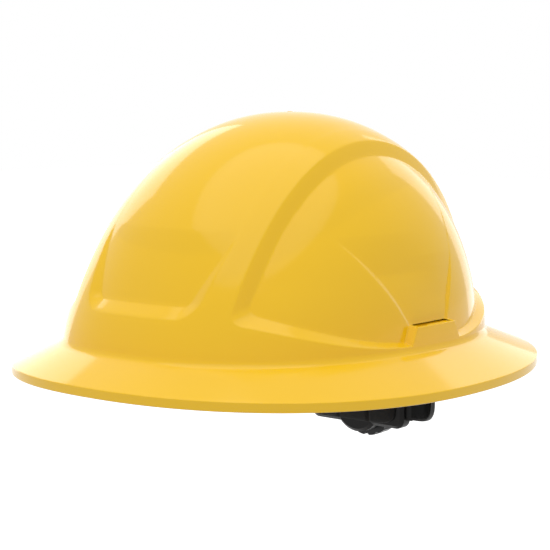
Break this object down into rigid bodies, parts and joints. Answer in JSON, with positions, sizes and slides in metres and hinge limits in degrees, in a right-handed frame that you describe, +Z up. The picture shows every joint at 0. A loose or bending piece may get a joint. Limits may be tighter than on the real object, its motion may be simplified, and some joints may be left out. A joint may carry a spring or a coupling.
{
  "type": "full brim hard hat",
  "caption": "Full brim hard hat with recessed crown panels, accessory slots, a webbing suspension and a turning-knob nape adjuster.",
  "frame": {"origin": "centre of the head opening, in the plane of the brim's lower edge", "axes": "+Z up through the crown, -Y to the front, +X to the wearer's left"},
  "size_m": [0.272, 0.318, 0.2041],
  "materials": {
    "shell": "glossy moulded yellow polyethylene",
    "suspension": "satin black moulded nylon",
    "ratchet": "satin black moulded housing",
    "knob": "fine-textured black knob",
    "gear": "natural acetal",
    "webbing": "woven black polyester webbing",
    "sweatband": "padded brushed terry, stitched",
    "foam": "fabric-faced foam",
    "plated_steel": "zinc-plated steel"
  },
  "bodies": {
    "hat": {"shell": "shell", "key_front_left": "suspension", "key_front_right": "suspension", "key_rear_left": "suspension", "key_rear_right": "suspension", "key_studs": "plated_steel", "crown_strap_under": "webbing", "crown_strap_over": "webbing", "crown_pad": "foam", "headband": "suspension", "brow_sweatband": "sweatband", "pivot_stud_left": "suspension", "pivot_stud_right": "suspension"},
    "nape": {"nape_arm_left": "suspension", "nape_arm_right": "suspension"},
    "left_rack": {"rack_left": "suspension"},
    "right_rack": {"rack_right": "suspension"},
    "ratchet": {"ratchet_inner_case": "ratchet", "ratchet_outer_cover": "ratchet", "case_screws": "plated_steel", "nape_pad": "foam"},
    "knob": {"knob": "knob", "pinion": "gear", "click_spring": "gear", "knob_screw": "plated_steel"}
  },
  "joints": [
    {"name": "nape_swing", "type": "hinge", "parent": "hat", "child": "nape", "pos_m": [0, 0.015, 0.008], "axis": [1, 0, 0], "range_deg": [-10, 10]},
    {"name": "ratchet_slide", "type": "slide", "parent": "nape", "child": "ratchet", "axis": [0, 1, 0], "range_m": [0, 0.025]},
    {"name": "left_rack_slide", "type": "slide", "parent": "nape", "child": "left_rack", "axis": [0.7071, 0.7071, 0], "range_m": [0, 0.03536], "deforming": ["nape_arm_left"]},
    {"name": "right_rack_slide", "type": "slide", "parent": "nape", "child": "right_rack", "axis": [-0.7071, 0.7071, 0], "range_m": [0, 0.03536], "deforming": ["nape_arm_right"]},
    {"name": "knob_turn", "type": "hinge", "parent": "ratchet", "child": "knob", "pos_m": [0, 0.09, -0.036], "axis": [0, 1, 0], "range_deg": [0, 286.4]}
  ],
  "couplings": [
    {"joint": "ratchet_slide", "follows": "knob_turn", "m_per_rad": 0.005},
    {"joint": "left_rack_slide", "follows": "knob_turn", "m_per_rad": 0.0070711},
    {"joint": "right_rack_slide", "follows": "knob_turn", "m_per_rad": 0.0070711}
  ]
}
